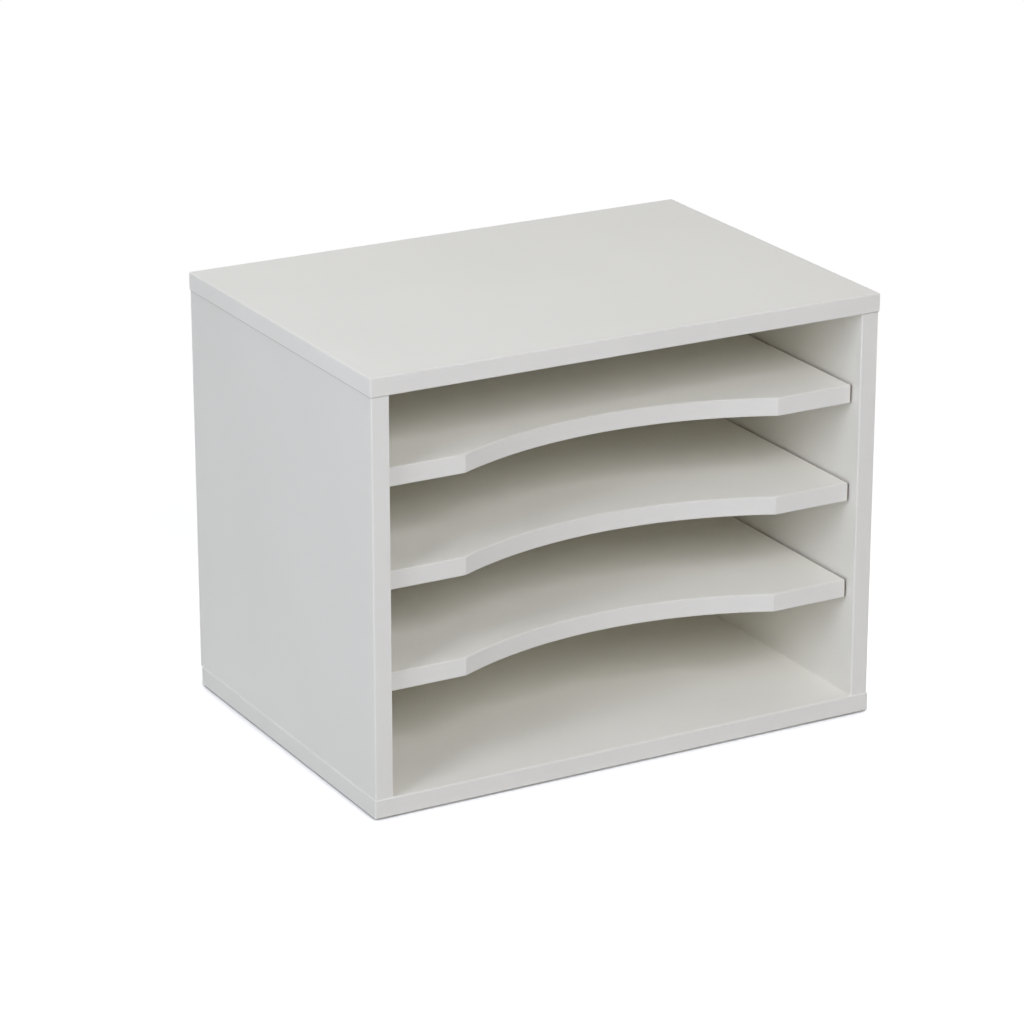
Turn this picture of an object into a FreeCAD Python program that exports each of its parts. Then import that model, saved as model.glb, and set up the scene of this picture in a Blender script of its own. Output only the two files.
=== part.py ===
import FreeCAD, Part
import os
from collections import namedtuple
from FreeCAD import Vector

# Document sorter: an open-fronted box of thin boards with three loose shelves.
# Lengths are in millimetres. X runs across the front, Y from front to back, Z up.
# The origin is on the ground, under the middle of the sorter.

# Overall plan
overall_width = 355.0
overall_depth = 250.0

# Clear heights of the four compartments, from the base up
lowest_space_height = 65.0
lower_middle_space_height = 53.0
upper_middle_space_height = 53.0
highest_space_height = 48.0

# Board thicknesses, and the rounding that takes the sharpness off their edges
top_thickness = 12.0
base_thickness = 12.0
side_thickness = 12.0
shelf_thickness = 12.0
back_thickness = 3.0
ease_radius = 0.8

# How the boards lie to each other
side_end_setback = 0.7
side_front_setback = 0.5
shelf_front_setback = 9.0
shelf_end_gap = 0.8
shelf_back_gap = 0.5
rabbet_width = 6.0
back_edge_gap = 0.3
back_lap_lift = 0.5

# Arch cut into the front edge of each shelf
arch_chord = 220.0
arch_depth = 25.5
arch_corner_radius = 1.5

# Shelf supports: a round shank in the side and a head with a flat seat
support_shank_diameter = 5.0
support_shank_gap = 0.1
support_head_diameter = 7.0
support_seat_rise = 2.5
support_reach = 8.0
support_chamfer = 0.4
support_hole_floor = 3.5
support_hole_end_gap = 0.5
support_front_inset = 37.0
support_rear_inset = 37.0

# Dowels between the top and the sides
dowel_diameter = 6.0
dowel_glue_gap = 0.1
dowel_end_gap = 0.5
dowel_chamfer = 0.8
dowel_side_depth = 17.0
dowel_top_floor = 4.0
dowel_edge_inset = 40.0
dowels_per_joint = 3

# Screws up through the base into the sides
base_screw_shank_diameter = 3.5
base_screw_head_diameter = 7.0
base_screw_head_sink = 0.3
base_screw_grip = 18.3
base_screw_point_length = 4.0
base_screw_slot_width = 0.9
base_screw_slot_span = 4.0
base_screw_slot_depth = 1.4
base_screw_edge_inset = 32.0
base_screws_per_joint = 3

# Screws through the back into the sides and into the rear edge of the base
back_screw_shank_diameter = 2.5
back_screw_head_diameter = 5.0
back_screw_head_sink = 0.2
back_screw_grip = 9.2
back_screw_point_length = 3.0
back_screw_slot_width = 0.6
back_screw_slot_span = 2.8
back_screw_slot_depth = 1.0
back_screw_column_inset = 30.0
back_screw_row_inset = 60.0
back_screws_per_column = 3
back_screws_in_row = 3

# Clearance round every screw and past its point
screw_gap = 0.1

# Foot pads under the base
pad_diameter = 12.0
pad_thickness = 1.0
pad_edge_radius = 0.3
pad_end_inset = 14.0
pad_front_inset = 8.0
pad_rear_inset = 8.0

# How far a cutting shape runs past the face that it cuts
overrun = 1.0

# Heights worked out from the ground up
base_bottom = pad_thickness
base_top = base_bottom + base_thickness
lower_shelf_bottom = base_top + lowest_space_height
middle_shelf_bottom = lower_shelf_bottom + shelf_thickness + lower_middle_space_height
upper_shelf_bottom = middle_shelf_bottom + shelf_thickness + upper_middle_space_height
top_bottom = upper_shelf_bottom + shelf_thickness + highest_space_height
top_top = top_bottom + top_thickness

# Places across and along the sorter
half_width = overall_width / 2
front = -overall_depth / 2
rear = overall_depth / 2
side_outside = half_width - side_end_setback
side_inside = side_outside - side_thickness
side_middle = side_inside + side_thickness / 2
back_front_face = rear - back_thickness
back_half_width = side_inside + rabbet_width - back_edge_gap
shelf_half_width = side_inside - shelf_end_gap
shelf_front = front + shelf_front_setback
shelf_rear = back_front_face - shelf_back_gap

# Depths of the blind holes
support_hole_depth = side_thickness - support_hole_floor
dowel_top_depth = top_thickness - dowel_top_floor

# The ways that the base's and the back's screws point
upward = Vector(0, 0, 1)
forward = Vector(0, -1, 0)

# Names and signs of the two ends, and the underside of each shelf
ends = {"left": -1, "right": 1}
shelf_bottoms = {
    "upper_shelf": upper_shelf_bottom,
    "middle_shelf": middle_shelf_bottom,
    "lower_shelf": lower_shelf_bottom,
}
support_rows = {
    "front": shelf_front + support_front_inset,
    "rear": shelf_rear - support_rear_inset,
}

Screw = namedtuple(
    "Screw",
    "shank_diameter head_diameter head_sink length point_length slot_width slot_span slot_depth",
)
base_screw = Screw(
    base_screw_shank_diameter,
    base_screw_head_diameter,
    base_screw_head_sink,
    base_thickness - base_screw_head_sink + base_screw_grip,
    base_screw_point_length,
    base_screw_slot_width,
    base_screw_slot_span,
    base_screw_slot_depth,
)
back_screw = Screw(
    back_screw_shank_diameter,
    back_screw_head_diameter,
    back_screw_head_sink,
    back_thickness - back_screw_head_sink + back_screw_grip,
    back_screw_point_length,
    back_screw_slot_width,
    back_screw_slot_span,
    back_screw_slot_depth,
)


def spread(first, last, count):
    """Evenly spaced places from first to last."""
    step = (last - first) / (count - 1)
    return [first + step * index for index in range(count)]


def block(corner, opposite):
    """Plain block between two opposite corners."""
    low = Vector(min(corner.x, opposite.x), min(corner.y, opposite.y), min(corner.z, opposite.z))
    span = opposite - corner
    return Part.makeBox(abs(span.x), abs(span.y), abs(span.z), low)


def upright_edges(shape):
    """Edges of a shape that run straight up."""
    boxes = [(edge, edge.BoundBox) for edge in shape.Edges]
    return [edge for edge, box in boxes if box.ZLength > max(box.XLength, box.YLength)]


def level_edges(shape):
    """Edges of a board's upper and lower outlines."""
    boxes = [(edge, edge.BoundBox) for edge in shape.Edges]
    return [edge for edge, box in boxes if box.ZLength < max(box.XLength, box.YLength)]


def rims(rod):
    """Round edges at the two ends of a rod or disc."""
    return [edge for edge in rod.Edges if edge.isClosed()]


def distance_from_middle(edge):
    """How far an edge lies to either side of the sorter's middle."""
    return abs(edge.CenterOfMass.x)


def aimed(shape, point, direction):
    """Shape built along Z from the origin, moved to a point and turned along a direction."""
    turn = FreeCAD.Rotation(upward, direction)
    shape.Placement = FreeCAD.Placement(point, turn)
    return shape


def screw_shape(screw, point, direction):
    """Countersunk screw whose sunk head starts behind a face point and runs along a direction."""
    shank = screw.shank_diameter / 2
    head = screw.head_diameter / 2
    head_height = head - shank
    body_length = screw.length - head_height - screw.point_length
    body = Part.makeCone(head, shank, head_height, Vector(0, 0, screw.head_sink))
    body_start = screw.head_sink + head_height
    body = body.fuse(Part.makeCylinder(shank, body_length, Vector(0, 0, body_start)))
    point_start = Vector(0, 0, body_start + body_length)
    body = body.fuse(Part.makeCone(shank, 0, screw.point_length, point_start))
    half_slot = screw.slot_width / 2
    half_span = screw.slot_span / 2
    slot_floor = screw.head_sink + screw.slot_depth
    for across, along in ((half_slot, half_span), (half_span, half_slot)):
        body = body.cut(block(Vector(-across, -along, -overrun), Vector(across, along, slot_floor)))
    return aimed(body.removeSplitter(), point, direction)


def screw_hole(screw, point, direction):
    """Cutting shape of a screw's countersunk hole, with its clearance all round."""
    shank = screw.shank_diameter / 2 + screw_gap
    head = screw.head_diameter / 2 + screw_gap
    hole_length = screw.head_sink + screw.length + screw_gap
    mouth = Part.makeCylinder(head, overrun + screw.head_sink, Vector(0, 0, -overrun))
    taper = Part.makeCone(head, shank, head - shank, Vector(0, 0, screw.head_sink))
    bore = Part.makeCylinder(shank, hole_length, Vector(0, 0, 0))
    return aimed(mouth.fuse([taper, bore]), point, direction)


def base_screw_points(sign):
    """Points on the underside of the base where screws go up into one side."""
    first = front + base_screw_edge_inset
    last = back_front_face - base_screw_edge_inset
    rows = spread(first, last, base_screws_per_joint)
    return [Vector(sign * side_middle, row, base_bottom) for row in rows]


def back_screw_points():
    """Points on the rear face where screws go into the sides and the base."""
    column = side_inside + rabbet_width / 2
    lowest = base_top + back_screw_column_inset
    highest = top_bottom - back_screw_column_inset
    heights = spread(lowest, highest, back_screws_per_column)
    points = [Vector(sign * column, rear, height) for sign in ends.values() for height in heights]
    reach = back_half_width - back_screw_row_inset
    base_middle = base_bottom + base_thickness / 2
    return points + [Vector(place, rear, base_middle) for place in spread(-reach, reach, back_screws_in_row)]


def base_screw_holes(sign):
    """Cutting shapes of the holes for the screws into one side."""
    return [screw_hole(base_screw, point, upward) for point in base_screw_points(sign)]


def back_screw_holes():
    """Cutting shapes of all the holes for the back's screws."""
    return [screw_hole(back_screw, point, forward) for point in back_screw_points()]


def dowel_points(sign):
    """Points on the joint between the top and one side where dowels cross it."""
    rows = spread(front + dowel_edge_inset, rear - dowel_edge_inset, dowels_per_joint)
    return [Vector(sign * side_middle, row, top_bottom) for row in rows]


def dowel_hole(point):
    """Cutting shape of the two blind holes that a dowel fills."""
    start = point - Vector(0, 0, dowel_side_depth)
    return Part.makeCylinder(dowel_diameter / 2 + dowel_glue_gap, dowel_side_depth + dowel_top_depth, start)


def dowel(point):
    """Wooden dowel with chamfered ends."""
    start = point - Vector(0, 0, dowel_side_depth - dowel_end_gap)
    length = dowel_side_depth + dowel_top_depth - 2 * dowel_end_gap
    rod = Part.makeCylinder(dowel_diameter / 2, length, start)
    return rod.makeChamfer(dowel_chamfer, rims(rod))


def support_hole(sign, row, shelf_bottom):
    """Cutting shape of the blind hole that holds a shelf support."""
    radius = support_shank_diameter / 2 + support_shank_gap
    mouth = Vector(sign * (side_inside - overrun), row, shelf_bottom - support_seat_rise)
    return Part.makeCylinder(radius, support_hole_depth + overrun, mouth, Vector(sign, 0, 0))


def shelf_support(sign, row, shelf_bottom):
    """Shelf support: a shank in the side, and a head whose flat top carries the shelf."""
    radius = support_head_diameter / 2
    wall_point = Vector(sign * side_inside, row, shelf_bottom - support_seat_rise)
    shank_length = support_hole_depth - support_hole_end_gap
    shank = Part.makeCylinder(support_shank_diameter / 2, shank_length, wall_point, Vector(sign, 0, 0))
    shank = shank.makeChamfer(support_chamfer, [max(rims(shank), key=distance_from_middle)])
    head = Part.makeCylinder(radius, support_reach, wall_point, Vector(-sign, 0, 0))
    head = head.makeChamfer(support_chamfer, [min(rims(head), key=distance_from_middle)])
    above_seat = block(
        Vector(sign * (side_inside + overrun), row - radius - overrun, shelf_bottom),
        Vector(sign * (side_inside - support_reach - overrun), row + radius + overrun, shelf_bottom + radius),
    )
    return head.cut(above_seat).fuse(shank).removeSplitter()


def top_panel():
    """Full-width top board, with blind holes for the dowels."""
    board = block(Vector(-half_width, front, top_bottom), Vector(half_width, rear, top_top))
    board = board.makeFillet(ease_radius, board.Edges)
    return board.cut([dowel_hole(point) for sign in ends.values() for point in dowel_points(sign)])


def base_panel():
    """Full-width base board, whose rear edge the back panel laps."""
    board = block(Vector(-half_width, front, base_bottom), Vector(half_width, back_front_face, base_top))
    board = board.makeFillet(ease_radius, board.Edges)
    holes = [hole for sign in ends.values() for hole in base_screw_holes(sign)]
    return board.cut(holes + back_screw_holes())


def side_panel(sign):
    """Upright side board with a rabbet for the back, and holes for its dowels, screws and supports."""
    board = block(
        Vector(sign * side_outside, front + side_front_setback, base_top),
        Vector(sign * side_inside, rear, top_bottom),
    )
    board = board.makeFillet(ease_radius, upright_edges(board))
    rabbet = block(
        Vector(sign * (side_inside - overrun), back_front_face, base_top - overrun),
        Vector(sign * (side_inside + rabbet_width), rear + overrun, top_bottom + overrun),
    )
    holes = [dowel_hole(point) for point in dowel_points(sign)]
    holes += [support_hole(sign, row, low) for row in support_rows.values() for low in shelf_bottoms.values()]
    return board.cut([rabbet] + holes + base_screw_holes(sign) + back_screw_holes())


def back_panel():
    """Thin back in the rabbets of the sides, lapping the rear edge of the base."""
    sheet = block(
        Vector(-back_half_width, back_front_face, base_bottom + back_lap_lift),
        Vector(back_half_width, rear, top_bottom - back_edge_gap),
    )
    return sheet.cut(back_screw_holes())


def shelf(shelf_bottom):
    """Loose shelf board with straight ends and one shallow arch in its front edge."""
    front_left = Vector(-shelf_half_width, shelf_front, shelf_bottom)
    front_right = Vector(shelf_half_width, shelf_front, shelf_bottom)
    rear_left = Vector(-shelf_half_width, shelf_rear, shelf_bottom)
    rear_right = Vector(shelf_half_width, shelf_rear, shelf_bottom)
    arch_left = Vector(-arch_chord / 2, shelf_front, shelf_bottom)
    arch_right = Vector(arch_chord / 2, shelf_front, shelf_bottom)
    arch_middle = Vector(0, shelf_front + arch_depth, shelf_bottom)
    outline = Part.Wire([
        Part.makeLine(front_left, arch_left),
        Part.Arc(arch_left, arch_middle, arch_right).toShape(),
        Part.makeLine(arch_right, front_right),
        Part.makeLine(front_right, rear_right),
        Part.makeLine(rear_right, rear_left),
        Part.makeLine(rear_left, front_left),
    ])
    board = Part.Face(outline).extrude(Vector(0, 0, shelf_thickness))
    between = (arch_chord / 2 + shelf_half_width) / 2
    arch_corners = [edge for edge in upright_edges(board) if distance_from_middle(edge) < between]
    board = board.makeFillet(arch_corner_radius, arch_corners)
    board_corners = [edge for edge in upright_edges(board) if distance_from_middle(edge) > between]
    return board.makeFillet(ease_radius, board_corners + level_edges(board))


def foot_pad(sign, row):
    """Thin round pad under the base, with its lower rim rounded."""
    centre = Vector(sign * (half_width - pad_end_inset), row, 0)
    disc = Part.makeCylinder(pad_diameter / 2, pad_thickness, centre)
    lower_rim = min(rims(disc), key=lambda rim: rim.CenterOfMass.z)
    return disc.makeFillet(pad_edge_radius, [lower_rim])


def all_nodes():
    """Every piece of the sorter under its own name."""
    nodes = {"top_panel": top_panel(), "base_panel": base_panel(), "back_panel": back_panel()}
    for shelf_name, shelf_bottom in shelf_bottoms.items():
        nodes[shelf_name] = shelf(shelf_bottom)
    pad_rows = {"front": front + pad_front_inset, "rear": back_front_face - pad_rear_inset}
    for end, sign in ends.items():
        nodes[f"{end}_side_panel"] = side_panel(sign)
        screws = [screw_shape(base_screw, point, upward) for point in base_screw_points(sign)]
        nodes[f"{end}_base_screws"] = Part.makeCompound(screws)
        for number, point in enumerate(dowel_points(sign), start=1):
            nodes[f"{end}_top_dowel_{number}"] = dowel(point)
        for row_name, row in pad_rows.items():
            nodes[f"{row_name}_{end}_foot_pad"] = foot_pad(sign, row)
        for row_name, row in support_rows.items():
            for shelf_name, shelf_bottom in shelf_bottoms.items():
                nodes[f"{shelf_name}_support_{row_name}_{end}"] = shelf_support(sign, row, shelf_bottom)
    screws = [screw_shape(back_screw, point, forward) for point in back_screw_points()]
    nodes["back_screws"] = Part.makeCompound(screws)
    return nodes


os.makedirs("parts", exist_ok=True)
for node_name, node_shape in all_nodes().items():
    node_shape.exportStep(f"parts/{node_name}.step")
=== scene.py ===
"""Looks of a white document sorter: finishes of its boards and fittings, light and camera."""
import logging
import math
from abc import ABC, abstractmethod
from dataclasses import dataclass, field
from enum import Enum
from typing import Any

import bmesh
import bpy
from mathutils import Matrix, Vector


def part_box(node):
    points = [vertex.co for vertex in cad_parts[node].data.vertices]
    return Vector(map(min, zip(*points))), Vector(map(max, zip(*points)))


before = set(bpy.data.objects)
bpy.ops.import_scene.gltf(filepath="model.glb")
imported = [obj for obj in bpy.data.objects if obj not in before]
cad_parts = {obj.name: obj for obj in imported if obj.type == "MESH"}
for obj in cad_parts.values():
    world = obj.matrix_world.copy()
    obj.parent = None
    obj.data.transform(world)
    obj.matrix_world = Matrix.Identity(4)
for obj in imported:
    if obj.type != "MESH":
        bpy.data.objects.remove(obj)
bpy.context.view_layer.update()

Colour = tuple[float, float, float]
Point = tuple[float, float, float]

log = logging.getLogger("document_sorter")

MILLIMETRE = 0.001
WHITE: Colour = (1.0, 1.0, 1.0)
WHITE_STRENGTH = 1.0
EVEN_LIE: Point = (1.0, 1.0, 1.0)
LEVEL_VIEW = 90.0
NOISE_MIDDLE = 0.5
WIDE_STEP = (0.3, 0.7)
SPECK_STEP = (0.66, 0.74)


class Axis(Enum):
    """Directions of the sorter: across the front, from front to back, and up."""

    ACROSS = 0
    BACK = 1
    UP = 2


class Ray(Enum):
    """Kinds of light path, by the output that tells them apart."""

    CAMERA = "Is Camera Ray"
    GLOSSY = "Is Glossy Ray"
    TRANSMISSION = "Is Transmission Ray"


@dataclass(frozen=True)
class Noise:
    """Soft noise on a surface.

    Attributes:
        scale: waves per metre.
        layers: number of finer layers.
        layer_strength: strength of each finer layer against the one before.
        lie: how closely the waves are packed along each axis.
    """

    scale: float
    layers: float = 2.0
    layer_strength: float = 0.5
    lie: Point = EVEN_LIE


class Value:
    """A value on a node's socket, on which Python's operators add Math nodes."""

    def __init__(self, graph: "Graph", socket: bpy.types.NodeSocket) -> None:
        """Keeps the socket and the graph that it belongs to."""
        self.graph = graph
        self.socket = socket

    def _math(self, operation: str, *operands: "Value | float") -> "Value":
        """Adds one Math node.

        Args:
            operation: the node's operation.
            operands: values or numbers for its sockets, in order.

        Returns:
            The node's result.
        """
        inputs = dict(enumerate(operands))
        made = self.graph.node("ShaderNodeMath", {"operation": operation}, inputs)
        return self.graph.value(made)

    def __add__(self, other: "Value | float") -> "Value":
        """Sum."""
        return self._math("ADD", self, other)

    def __radd__(self, other: float) -> "Value":
        """Sum with a number on the left."""
        return self._math("ADD", other, self)

    def __sub__(self, other: "Value | float") -> "Value":
        """Difference."""
        return self._math("SUBTRACT", self, other)

    def __rsub__(self, other: float) -> "Value":
        """Difference from a number."""
        return self._math("SUBTRACT", other, self)

    def __mul__(self, other: "Value | float") -> "Value":
        """Product."""
        return self._math("MULTIPLY", self, other)

    def __rmul__(self, other: float) -> "Value":
        """Product with a number on the left."""
        return self._math("MULTIPLY", other, self)

    def __abs__(self) -> "Value":
        """Size without sign."""
        return self._math("ABSOLUTE", self)

    def least(self, other: "Value | float") -> "Value":
        """The smaller of two values."""
        return self._math("MINIMUM", self, other)

    def most(self, other: "Value | float") -> "Value":
        """The larger of two values."""
        return self._math("MAXIMUM", self, other)

    def swing(self) -> "Value":
        """How far a noise lies above or below its middle."""
        return self - NOISE_MIDDLE

    def ramp(self, start: float, end: float) -> "Value":
        """Smooth step.

        Args:
            start: where the result is 0.
            end: where the result is 1. It may lie below start.

        Returns:
            A value from 0 to 1.
        """
        made = self.graph.node(
            "ShaderNodeMapRange",
            {"interpolation_type": "SMOOTHSTEP"},
            {"Value": self, "From Min": min(start, end), "From Max": max(start, end)},
        )
        step = self.graph.value(made, "Result")
        return step if start < end else 1 - step


class Graph:
    """Node tree of one finish, floor or world."""

    MIX_COLOUR_INPUTS = (6, 7)
    MIX_COLOUR_RESULT = 2

    def __init__(self, tree: bpy.types.NodeTree) -> None:
        """Starts the tree empty."""
        self.tree = tree
        self.tree.nodes.clear()

    def node(
        self,
        kind: str,
        settings: dict[str, Any] | None = None,
        inputs: dict[str | int, Any] | None = None,
    ) -> bpy.types.Node:
        """Adds a node.

        Args:
            kind: the node's type.
            settings: attributes to set first, such as an operation.
            inputs: sockets by name or place, each with a value, a number or a shader node.

        Returns:
            The new node.
        """
        made = self.tree.nodes.new(kind)
        for name, setting in (settings or {}).items():
            setattr(made, name, setting)
        for key, entry in (inputs or {}).items():
            if isinstance(entry, bpy.types.Node):
                entry = self.value(entry)
            if isinstance(entry, Value):
                self.tree.links.new(entry.socket, made.inputs[key])
            else:
                made.inputs[key].default_value = entry
        return made

    def value(self, made: bpy.types.Node, output: str | int = 0) -> Value:
        """One output of a node."""
        return Value(self, made.outputs[output])

    def place(self) -> Value:
        """Position on the object, in metres in the sorter's frame."""
        return self.value(self.node("ShaderNodeTexCoord"), "Object")

    def scaled(self, vector: Value, factors: Point) -> Value:
        """Position or colour with each part multiplied by its own factor."""
        inputs = {0: vector, 1: factors}
        return self.value(self.node("ShaderNodeVectorMath", {"operation": "MULTIPLY"}, inputs))

    def parts(self, place: Value) -> tuple[Value, Value, Value]:
        """The three coordinates of a position."""
        made = self.node("ShaderNodeSeparateXYZ", inputs={0: place})
        return self.value(made, 0), self.value(made, 1), self.value(made, 2)

    def facing(self, axis: Axis) -> Value:
        """How far the surface faces along an axis, from -1 to 1."""
        return self.parts(self.value(self.node("ShaderNodeNewGeometry"), "Normal"))[axis.value]

    def noise(self, place: Value, noise: Noise) -> Value:
        """Reads soft noise.

        Args:
            place: position that it is read at.
            noise: its scale, layers and lie.

        Returns:
            A value about NOISE_MIDDLE.
        """
        if noise.lie != EVEN_LIE:
            place = self.scaled(place, noise.lie)
        inputs = {
            "Vector": place,
            "Scale": noise.scale,
            "Detail": noise.layers,
            "Roughness": noise.layer_strength,
        }
        return self.value(self.node("ShaderNodeTexNoise", inputs=inputs), "Fac")

    def pores(self, place: Value, scale: float) -> Value:
        """Distance to the nearest of many scattered points, in cells."""
        inputs = {"Vector": place, "Scale": scale}
        return self.value(self.node("ShaderNodeTexVoronoi", inputs=inputs), "Distance")

    def rays(self, *kinds: Ray) -> Value:
        """Tells some kinds of light path from the rest.

        Args:
            kinds: the kinds to pick out.

        Returns:
            1 on those paths, else 0.
        """
        path = self.node("ShaderNodeLightPath")
        picked, *others = [self.value(path, kind.value) for kind in kinds]
        for other in others:
            picked = picked.most(other)
        return picked

    def blend(self, share: Value, first: Value | Colour, second: Value | Colour) -> Value:
        """Mixes two colours.

        Args:
            share: share of the second colour.
            first: colour at 0.
            second: colour at 1.

        Returns:
            The mixed colour.
        """
        ends = [end if isinstance(end, Value) else (*end, 1.0) for end in (first, second)]
        made = self.node(
            "ShaderNodeMix",
            {"data_type": "RGBA", "clamp_factor": True},
            {0: share, **dict(zip(self.MIX_COLOUR_INPUTS, ends))},
        )
        return self.value(made, self.MIX_COLOUR_RESULT)

    def tones(self, share: Value, colour: Colour, spread: float) -> Value:
        """A colour that wavers between a darker and a lighter tone of itself."""
        return self.blend(share, shade(colour, 1 - spread), shade(colour, 1 + spread))

    def bump(self, height: Value, depth: float) -> Value:
        """Normal of a surface with relief, whose height from 0 to 1 spans a depth in metres."""
        inputs = {"Distance": depth, "Height": height}
        return self.value(self.node("ShaderNodeBump", inputs=inputs), "Normal")

    def mixed(self, share: Value, first: bpy.types.Node, second: bpy.types.Node) -> bpy.types.Node:
        """Mixes two shaders, by the share of the second."""
        return self.node("ShaderNodeMixShader", inputs={0: share, 1: first, 2: second})

    def matte(self, colour: Colour) -> bpy.types.Node:
        """Plain matte shader."""
        return self.node("ShaderNodeBsdfDiffuse", inputs={"Color": (*colour, 1.0)})

    def glow(self, strength: float) -> bpy.types.Node:
        """Shader that gives off white light."""
        return self.node("ShaderNodeEmission", inputs={"Strength": strength})

    def coat(
        self,
        colour: Value,
        rough: Value,
        normal: Value,
        constants: dict[str, float] | None = None,
    ) -> None:
        """Ends the graph in a solid's surface.

        Args:
            colour: base colour.
            rough: roughness.
            normal: bent normal.
            constants: other sockets by name, with numbers that are the same all over.
        """
        inputs = {"Base Color": colour, "Roughness": rough, "Normal": normal, **(constants or {})}
        self.surface(self.node("ShaderNodeBsdfPrincipled", inputs=inputs))

    def surface(self, shader: bpy.types.Node) -> None:
        """Makes a shader the tree's result.

        Args:
            shader: shader of the whole surface or sky.
        """
        of_world = isinstance(self.tree.id_data, bpy.types.World)
        kind = "ShaderNodeOutputWorld" if of_world else "ShaderNodeOutputMaterial"
        self.node(kind, inputs={"Surface": shader})


def shade(colour: Colour, factor: float) -> Colour:
    """A colour made darker or lighter."""
    return tuple(min(1.0, part * factor) for part in colour)


class Finish(ABC):
    """A finish that can be put on solids."""

    @abstractmethod
    def paint(self, graph: Graph) -> None:
        """Fills a material's empty graph."""

    def material(self, name: str) -> bpy.types.Material:
        """Makes a material of the finish.

        Args:
            name: name of the material.

        Returns:
            The new material.
        """
        material = bpy.data.materials.new(name)
        material.use_nodes = True
        self.paint(Graph(material.node_tree))
        return material

    def dress(self, name: str, *nodes: str) -> None:
        """Puts the finish on every slot of some solids.

        Args:
            name: name of the new material.
            nodes: names of the solids.
        """
        material = self.material(name)
        for node in nodes:
            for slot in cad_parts[node].material_slots:
                slot.material = material
            log.info("%s: %s", node, name)


@dataclass(frozen=True)
class Board:
    """One board of the sorter, and what shows along its edges.

    Attributes:
        node: the solid's name.
        shaded_seam: whether painted shade darkens a line along the joint under the top board.
        shaded_bare_ends: whether its left and right ends are bare fibre, darkened as painted shade
            of the gap at the walls.
        side_light_and_shade: painted light (above 1) or painted shade (below 1) on its left and
            right faces, against its other faces.
    """

    node: str
    shaded_seam: bool = False
    shaded_bare_ends: bool = False
    side_light_and_shade: float = 1.0

    def depths(self, graph: Graph, place: Value) -> list[Value]:
        """Measures how deep a point lies inside the board's box.

        Args:
            graph: the finish's graph.
            place: the point's position.

        Returns:
            The distance to the nearer face along each axis, in metres.
        """
        found = []
        for part, start, end in zip(graph.parts(place), *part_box(self.node)):
            middle, half = (start + end) / 2, (end - start) / 2
            found.append(half - abs(part - middle))
        return found


@dataclass(frozen=True)
class ShadedBareFibre:
    """Pressed fibre where a board is cut to length, darker than bare fibre is, as painted shade of
    the narrow gap at the walls.
    """

    light: Colour = (0.28, 0.225, 0.17)
    dark: Colour = (0.18, 0.14, 0.105)
    fibres: Noise = Noise(900.0, 4.0, 0.65, (1.0, 0.3, 1.5))

    def colour(self, graph: Graph, place: Value) -> Value:
        """Mottled brown of the fibres, darkened as painted shade."""
        fibres = graph.noise(place, self.fibres)
        return graph.blend(fibres.ramp(*WIDE_STEP), self.dark, self.light)


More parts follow.
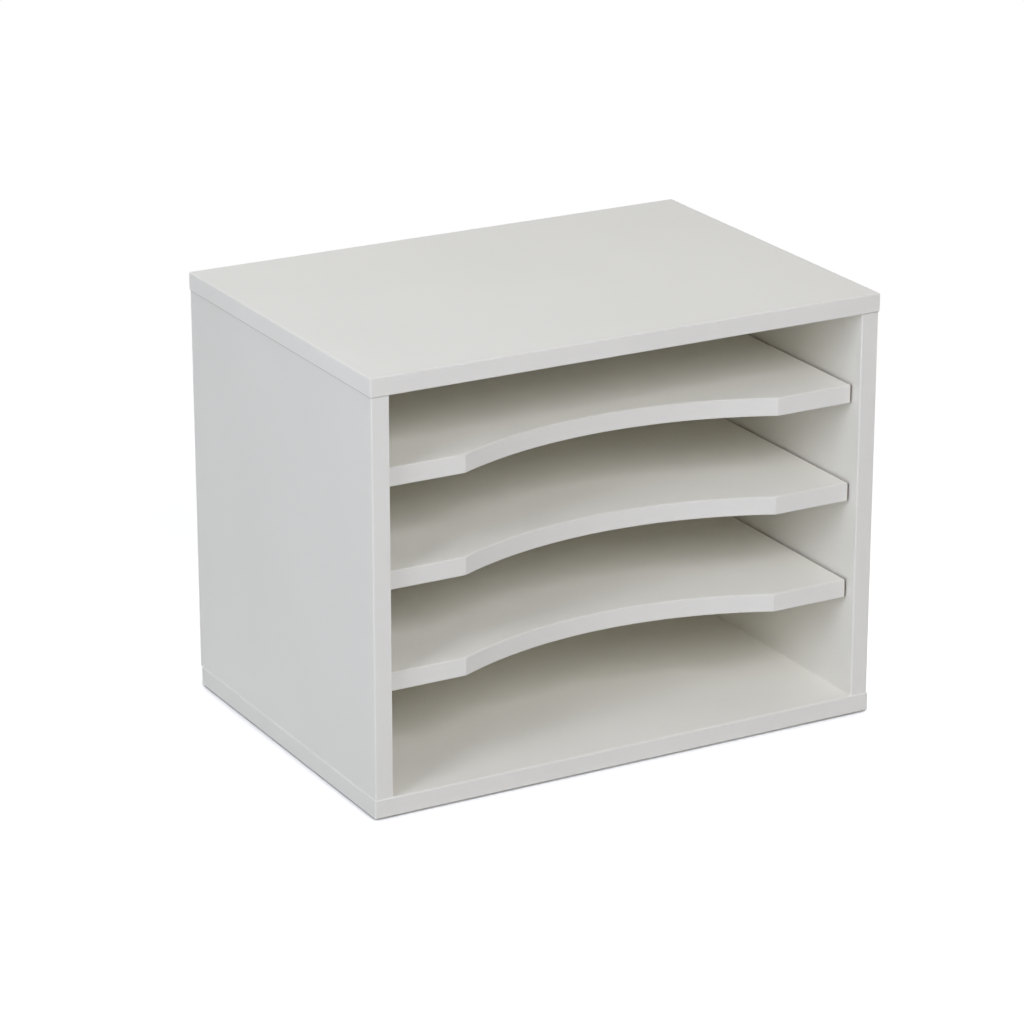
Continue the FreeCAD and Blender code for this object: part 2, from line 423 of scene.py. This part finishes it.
@dataclass(frozen=True)
class MatteFoil(Finish):
    """Matte white foil on one fibreboard, with painted shade on front faces, painted edge
    highlights, shaded bare ends and a painted shade line at a joint.
    """

    board: Board
    seam_height: float
    tint: Colour = (0.83, 0.815, 0.755)
    front_shade_tint: Colour = (0.695, 0.678, 0.632)
    clouds: Noise = Noise(8.0, layers=3.0)
    cloud_contrast: float = 0.02
    grain: Noise = Noise(1300.0, layer_strength=0.6)
    grain_contrast: float = 0.012
    turn_starts: float = 0.35
    turn_ends: float = 0.7
    edge_width: float = 1.6 * MILLIMETRE
    edge_highlight_lift: float = 1.015
    front_edge_highlight_lift: float = 1.05
    seam_shade_width: float = 0.9 * MILLIMETRE
    seam_shade_depth: float = 0.6
    cut_width: float = 0.85 * MILLIMETRE
    cut_blur: float = 0.13 * MILLIMETRE
    roughness: float = 0.56
    grain_roughness: float = 0.12
    edge_polish: float = 0.06
    gloss: float = 0.3
    relief: float = 0.03 * MILLIMETRE
    shaded_core: ShadedBareFibre = field(default_factory=ShadedBareFibre)

    def paint(self, graph: Graph) -> None:
        """Covers the board, then adds what shows along its edges.

        Args:
            graph: the material's graph.
        """
        place = graph.place()
        grain = graph.noise(place, self.grain)
        depths = self.board.depths(graph, place)
        edge = self.edge_share(*depths)
        colour = self.cover(graph, place, grain, edge)
        # The cut ends: bare fibre, made darker as painted shade of the gap between shelf and wall.
        if self.board.shaded_bare_ends:
            bare = depths[Axis.ACROSS.value].ramp(self.cut_width + self.cut_blur, self.cut_width)
            colour = graph.blend(bare, colour, self.shaded_core.colour(graph, place))
        # Painted shade: a dark line along the joint under the top board, where its crevice is in
        # shade.
        if self.board.shaded_seam:
            height = graph.parts(place)[Axis.UP.value]
            line = abs(height - self.seam_height).ramp(self.seam_shade_width, 0.0)
            colour = graph.blend(edge * line, colour, shade(self.tint, self.seam_shade_depth))
        rough = self.roughness + grain.swing() * self.grain_roughness - edge * self.edge_polish
        constants = {"Specular IOR Level": self.gloss}
        graph.coat(colour, rough, graph.bump(grain, self.relief), constants)

    def edge_share(self, first: Value, second: Value, third: Value) -> Value:
        """Finds the twelve edges of the board's box.

        Args:
            first: depth inside the box along one axis.
            second: depth along another axis.
            third: depth along the last axis.

        Returns:
            1 at an edge, 0 from the edge's width on.
        """
        nearest = first.least(second).least(third)
        farthest = first.most(second).most(third)
        return (first + second + third - nearest - farthest).ramp(self.edge_width, 0.0)

    def cover(self, graph: Graph, place: Value, grain: Value, edge: Value) -> Value:
        """Colours the foil, with painted shade on the faces towards the front and the board's
        painted light and shade on its left and right faces.

        Args:
            graph: the material's graph.
            place: position on the board.
            grain: fine grain about NOISE_MIDDLE.
            edge: share of edge.

        Returns:
            The colour, with a painted highlight along the edges, stronger on the faces towards the
            front.
        """
        spread = self.cloud_contrast + self.grain_contrast
        clouds = graph.noise(place, self.clouds)
        share = NOISE_MIDDLE + clouds.swing() * (2 * self.cloud_contrast / spread)
        share = share + grain.swing() * (2 * self.grain_contrast / spread)
        front = graph.facing(Axis.BACK).ramp(-self.turn_starts, -self.turn_ends)
        colour = graph.tones(share, self.tint, spread)
        # Painted light on the top board's left and right faces, painted shade on the base's.
        if self.board.side_light_and_shade != 1.0:
            sides = abs(graph.facing(Axis.ACROSS)).ramp(self.turn_starts, self.turn_ends)
            side_light_and_shade_tint = shade(self.tint, self.board.side_light_and_shade)
            colour = graph.blend(sides, colour, graph.tones(share, side_light_and_shade_tint, spread))
        # Painted shade: faces towards the front take a darker tint.
        colour = graph.blend(front, colour, graph.tones(share, self.front_shade_tint, spread))
        if self.board.shaded_bare_ends:
            return colour
        # Painted highlight along the edges, where light would catch the eased edges.
        highlight_lifts = (self.edge_highlight_lift, self.front_edge_highlight_lift)
        light = graph.blend(front, *(graph.scaled(colour, (lift, lift, lift)) for lift in highlight_lifts))
        return graph.blend(edge, colour, light)


@dataclass(frozen=True)
class PaintedHardboard(Finish):
    """Thin pressed-fibre panel with a coat of white paint that lets the fibres show."""

    tint: Colour = (0.81, 0.796, 0.737)
    contrast: float = 0.035
    fibres: Noise = Noise(260.0, 4.0, 0.65, (0.35, 1.0, 1.0))
    fibre_share: float = 0.8
    clouds: Noise = Noise(6.0)
    cloud_share: float = 0.6
    specks: Noise = Noise(1500.0)
    speck_cover: float = 0.25
    speck_tone: float = 0.86
    roughness: float = 0.62
    fibre_roughness: float = 0.15
    relief: float = 0.05 * MILLIMETRE
    fibre_relief: float = 0.7
    speck_relief: float = 0.3

    def paint(self, graph: Graph) -> None:
        """Paints the panel over its fibres and specks.

        Args:
            graph: the material's graph.
        """
        place = graph.place()
        fibres = graph.noise(place, self.fibres)
        specks = graph.noise(place, self.specks)
        clouds = graph.noise(place, self.clouds)
        share = NOISE_MIDDLE + fibres.swing() * self.fibre_share
        share = share + clouds.swing() * self.cloud_share
        colour = graph.tones(share, self.tint, self.contrast)
        spotted = specks.ramp(*SPECK_STEP) * self.speck_cover
        colour = graph.blend(spotted, colour, shade(self.tint, self.speck_tone))
        rough = self.roughness + fibres.swing() * self.fibre_roughness
        height = fibres * self.fibre_relief + specks * self.speck_relief
        graph.coat(colour, rough, graph.bump(height, self.relief))


@dataclass(frozen=True)
class PlatedMetal(Finish):
    """Plated metal with fine marks of turning round one axis and a mottled plating."""

    bright: Colour
    dull: Colour
    turned_about: Axis
    roughness: float
    marks: Noise = Noise(5200.0)
    mark_packing: float = 0.06
    mark_roughness: float = 0.15
    mottle: Noise = Noise(700.0, 3.0, 0.6)
    mottle_roughness: float = 0.2
    relief: float = 0.006 * MILLIMETRE

    def paint(self, graph: Graph) -> None:
        """Plates the metal.

        Args:
            graph: the material's graph.
        """
        place = graph.place()
        lie = tuple(1.0 if axis is self.turned_about else self.mark_packing for axis in Axis)
        marks = graph.noise(graph.scaled(place, lie), self.marks)
        mottle = graph.noise(place, self.mottle)
        colour = graph.blend(mottle.ramp(*WIDE_STEP), self.dull, self.bright)
        rough = self.roughness + mottle.swing() * self.mottle_roughness
        rough = rough + marks.swing() * self.mark_roughness
        graph.coat(colour, rough, graph.bump(marks, self.relief), {"Metallic": 1.0})


def zinc_plate(turned_about: Axis) -> PlatedMetal:
    """Bluish zinc on screws that are turned about an axis."""
    return PlatedMetal((0.69, 0.70, 0.715), (0.56, 0.57, 0.585), turned_about, 0.36)


@dataclass(frozen=True)
class PlainBeech(Finish):
    """Beech rod with long grain and short dark flecks."""

    early: Colour = (0.70, 0.52, 0.35)
    late: Colour = (0.55, 0.37, 0.22)
    fleck: Colour = (0.38, 0.23, 0.12)
    grain: Noise = Noise(1100.0, 4.0, 0.6, (1.0, 1.0, 0.08))
    flecks: Noise = Noise(2600.0, layers=1.0, lie=(1.0, 1.0, 0.2))
    fleck_cover: float = 0.6
    roughness: float = 0.6
    grain_roughness: float = 0.2
    relief: float = 0.04 * MILLIMETRE

    def paint(self, graph: Graph) -> None:
        """Draws the grain along the rod.

        Args:
            graph: the material's graph.
        """
        place = graph.place()
        grain = graph.noise(place, self.grain)
        flecks = graph.noise(place, self.flecks).ramp(*SPECK_STEP)
        colour = graph.blend(grain.ramp(*WIDE_STEP), self.early, self.late)
        colour = graph.blend(flecks * self.fleck_cover, colour, self.fleck)
        rough = self.roughness + grain.swing() * self.grain_roughness
        graph.coat(colour, rough, graph.bump(grain, self.relief))


@dataclass(frozen=True)
class FoamRubber(Finish):
    """Dark closed-cell foam with fine pores."""

    skin: Colour = (0.085, 0.085, 0.088)
    pore: Colour = (0.035, 0.035, 0.036)
    pore_scale: float = 2200.0
    pore_rim: float = 0.45
    pore_middle: float = 0.15
    dust: Noise = Noise(300.0, layers=3.0)
    dust_contrast: float = 0.2
    roughness: float = 0.85
    dust_polish: float = 0.1
    relief: float = 0.08 * MILLIMETRE

    def paint(self, graph: Graph) -> None:
        """Fills the skin with pores and a little dust.

        Args:
            graph: the material's graph.
        """
        place = graph.place()
        pores = graph.pores(place, self.pore_scale).ramp(self.pore_rim, self.pore_middle)
        dust = graph.noise(place, self.dust)
        colour = graph.blend(pores, graph.tones(dust, self.skin, self.dust_contrast), self.pore)
        rough = self.roughness - dust * self.dust_polish
        graph.coat(colour, rough, graph.bump(1 - pores, self.relief))


@dataclass
class Boards:
    """Foil-covered boards of the box and its three shelves."""

    top: Board = Board("top_panel", shaded_seam=True, side_light_and_shade=1.045)
    others: tuple[Board, ...] = (
        Board("base_panel", side_light_and_shade=0.985),
        Board("left_side_panel", shaded_seam=True),
        Board("right_side_panel", shaded_seam=True),
        Board("upper_shelf", shaded_bare_ends=True),
        Board("middle_shelf", shaded_bare_ends=True),
        Board("lower_shelf", shaded_bare_ends=True),
    )

    def dress(self) -> None:
        """Covers each board with foil, with painted highlights on its edges and painted shade
        along the joint under the top board.
        """
        joint_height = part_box(self.top.node)[0].z
        for board in (self.top, *self.others):
            MatteFoil(board, joint_height).dress(f"white_foil_{board.node}", board.node)


@dataclass
class Back:
    """Thin panel that closes the rear, and its screws."""

    panel: str = "back_panel"
    screws: str = "back_screws"
    paint: PaintedHardboard = field(default_factory=PaintedHardboard)
    zinc: PlatedMetal = zinc_plate(Axis.BACK)

    def dress(self) -> None:
        """Paints the panel and plates its screws."""
        self.paint.dress("painted_hardboard", self.panel)
        self.zinc.dress("zinc_plate_back_screws", self.screws)


@dataclass
class Fittings:
    """Shelf supports, base screws, dowels and foot pads."""

    rows: tuple[str, ...] = ("front", "rear")
    ends: tuple[str, ...] = ("left", "right")
    shelves: tuple[str, ...] = ("upper", "middle", "lower")
    dowels_per_side: int = 3
    nickel: PlatedMetal = PlatedMetal((0.74, 0.715, 0.675), (0.62, 0.60, 0.565), Axis.ACROSS, 0.26)
    zinc: PlatedMetal = zinc_plate(Axis.UP)
    beech: PlainBeech = field(default_factory=PlainBeech)
    foam: FoamRubber = field(default_factory=FoamRubber)

    def dress(self) -> None:
        """Finishes every fitting."""
        corners = [f"{row}_{end}" for row in self.rows for end in self.ends]
        supports = [f"{shelf}_shelf_support_{spot}" for shelf in self.shelves for spot in corners]
        numbers = range(1, self.dowels_per_side + 1)
        dowels = [f"{end}_top_dowel_{number}" for end in self.ends for number in numbers]
        self.nickel.dress("nickel_plate", *supports)
        self.foam.dress("foam_rubber", *(f"{corner}_foot_pad" for corner in corners))
        self.zinc.dress("zinc_plate_base_screws", *(f"{end}_base_screws" for end in self.ends))
        self.beech.dress("plain_beech", *dowels)


@dataclass(frozen=True)
class Floor(Finish):
    """Wide round floor that shows white with the sorter's shadow, and nothing from below."""

    radius: float = 6.0
    sides: int = 128
    colour: Colour = (0.85, 0.85, 0.85)
    seen_colour: Colour = (0.9, 0.9, 0.9)
    near_glow: float = 0.5
    contact_shadow_colour: Colour = (0.5, 0.5, 0.5)
    contact_reach: float = 14 * MILLIMETRE
    contact_starts: float = 0.1
    contact_ends: float = 0.9
    contact_samples: int = 6
    open_starts: float = 0.3
    open_ends: float = 0.8

    def build(self) -> None:
        """Lays the floor under the sorter."""
        mesh = bpy.data.meshes.new("floor")
        shape = bmesh.new()
        bmesh.ops.create_circle(shape, cap_ends=True, radius=self.radius, segments=self.sides)
        shape.to_mesh(mesh)
        shape.free()
        mesh.materials.append(self.material("pale_floor"))
        floor = bpy.data.objects.new("floor", mesh)
        bpy.context.collection.objects.link(floor)
        log.info("floor: pale_floor")

    def paint(self, graph: Graph) -> None:
        """Paints the floor: pale for the light it sends back, white to the eye further off.

        Args:
            graph: the material's graph.
        """
        white = graph.glow(WHITE_STRENGTH)
        mirrored = graph.rays(Ray.GLOSSY, Ray.TRANSMISSION)
        above = graph.mixed(mirrored, graph.matte(self.colour), white)
        above = graph.mixed(graph.rays(Ray.CAMERA), above, self.seen(graph, white))
        below = graph.value(graph.node("ShaderNodeNewGeometry"), "Backfacing")
        graph.surface(graph.mixed(below, above, graph.node("ShaderNodeBsdfTransparent")))

    def seen(self, graph: Graph, white: bpy.types.Node) -> bpy.types.Node:
        """Shades the floor that the eye sees.

        Args:
            graph: the material's graph.
            white: shader of the open floor.

        Returns:
            White floor with the sorter's shadow, and a painted contact shadow where the base
            almost touches it.
        """
        lit = graph.matte(self.seen_colour)
        near = graph.node("ShaderNodeAddShader", inputs={0: lit, 1: graph.glow(self.near_glow)})
        distance = graph.node("ShaderNodeVectorMath", {"operation": "LENGTH"}, {0: graph.place()})
        far = graph.value(distance, "Value").ramp(self.open_starts, self.open_ends)
        # Ambient occlusion near the base picks a darker floor without glow: painted contact
        # shadow.
        openness = graph.node(
            "ShaderNodeAmbientOcclusion",
            {"samples": self.contact_samples},
            {"Distance": self.contact_reach},
        )
        clear = graph.value(openness, "AO").ramp(self.contact_starts, self.contact_ends)
        return graph.mixed(clear, graph.matte(self.contact_shadow_colour), graph.mixed(far, near, white))


@dataclass(frozen=True)
class Air:
    """White surroundings that light the sorter evenly from all round."""

    strength: float = 0.12

    def build(self) -> None:
        """Makes the surroundings the scene's world."""
        world = bpy.data.worlds.new("white_studio")
        world.use_nodes = True
        bpy.context.scene.world = world
        graph = Graph(world.node_tree)
        shown = graph.rays(Ray.CAMERA, Ray.GLOSSY, Ray.TRANSMISSION)
        lit = self.sky(graph, self.strength)
        graph.surface(graph.mixed(shown, lit, self.sky(graph, WHITE_STRENGTH)))
        log.info("air: strength %.2f", self.strength)

    @staticmethod
    def sky(graph: Graph, strength: float) -> bpy.types.Node:
        """Even white light."""
        inputs = {"Color": (*WHITE, 1.0), "Strength": strength}
        return graph.node("ShaderNodeBackground", inputs=inputs)


@dataclass(frozen=True)
class SoftLamp:
    """Large square lamp that faces the sorter."""

    name: str
    place: Point
    width: float
    power: float
    colour: Colour = WHITE
    aim: Point = (0.0, 0.0, 0.14)

    def build(self) -> None:
        """Adds the lamp to the scene."""
        data = bpy.data.lights.new(self.name, "AREA")
        data.shape = "SQUARE"
        data.size = self.width
        data.energy = self.power
        data.color = self.colour
        lamp = bpy.data.objects.new(self.name, data)
        lamp.location = self.place
        towards = Vector(self.aim) - Vector(self.place)
        lamp.rotation_euler = towards.to_track_quat("-Z", "Y").to_euler()
        bpy.context.collection.objects.link(lamp)
        log.info("%s: %.1f W", self.name, self.power)


@dataclass
class Studio:
    """Floor, surroundings and soft lamps round the sorter."""

    floor: Floor = field(default_factory=Floor)
    air: Air = field(default_factory=Air)
    bounces: int = 12
    lamps: tuple[SoftLamp, ...] = (
        SoftLamp("front_lamp", (-0.66, -3.76, 2.71), 1.6, 101.5, (0.931, 0.936, 1.0)),
        SoftLamp("left_lamp", (-1.73, -0.81, 1.43), 0.8, 13.1, (0.837, 0.896, 1.0)),
        SoftLamp("low_left_lamp", (-3.87, -1.8, 1.86), 1.6, 22.1, (0.754, 0.801, 1.0)),
        SoftLamp("high_lamp", (0.77, -0.91, 4.58), 1.6, 13.6),
        SoftLamp("rear_lamp", (0.0, 3.4, 3.26), 2.4, 38.4),
        SoftLamp("right_lamp", (4.0, 0.4, 2.26), 2.4, 19.2),
        SoftLamp("low_right_lamp", (4.2, 0.8, 0.76), 1.4, 20.0),
        SoftLamp("low_rear_lamp", (0.6, 4.2, 0.76), 1.4, 26.0),
    )

    def build(self) -> None:
        """Builds the floor, the surroundings and the lamps."""
        bpy.context.scene.view_settings.view_transform = "Standard"
        bpy.context.scene.cycles.diffuse_bounces = self.bounces
        self.floor.build()
        self.air.build()
        for lamp in self.lamps:
            lamp.build()


@dataclass(frozen=True)
class PhotoCamera:
    """Camera in front of the sorter, to the left of its middle and above it."""

    place: Point = (-1.1960, -2.1300, 1.0099)
    turn: float = 29.026
    tilt: float = 19.859
    lens: float = 143.34
    sensor: float = 36.0

    def build(self) -> None:
        """Adds the camera and makes it the scene's."""
        data = bpy.data.cameras.new("photo_camera")
        data.sensor_width = self.sensor
        data.lens = self.lens
        camera = bpy.data.objects.new("photo_camera", data)
        camera.location = self.place
        rise = math.radians(LEVEL_VIEW - self.tilt)
        camera.rotation_euler = (rise, 0.0, -math.radians(self.turn))
        bpy.context.collection.objects.link(camera)
        bpy.context.scene.camera = camera
        log.info("camera: %.1f mm lens", self.lens)


def main() -> None:
    """Builds the studio and dresses the sorter, piece by piece."""
    logging.basicConfig(level=logging.INFO, format="%(name)s %(message)s")
    Studio().build()
    PhotoCamera().build()
    Boards().dress()
    Back().dress()
    Fittings().dress()


if __name__ == "__main__":
    main()
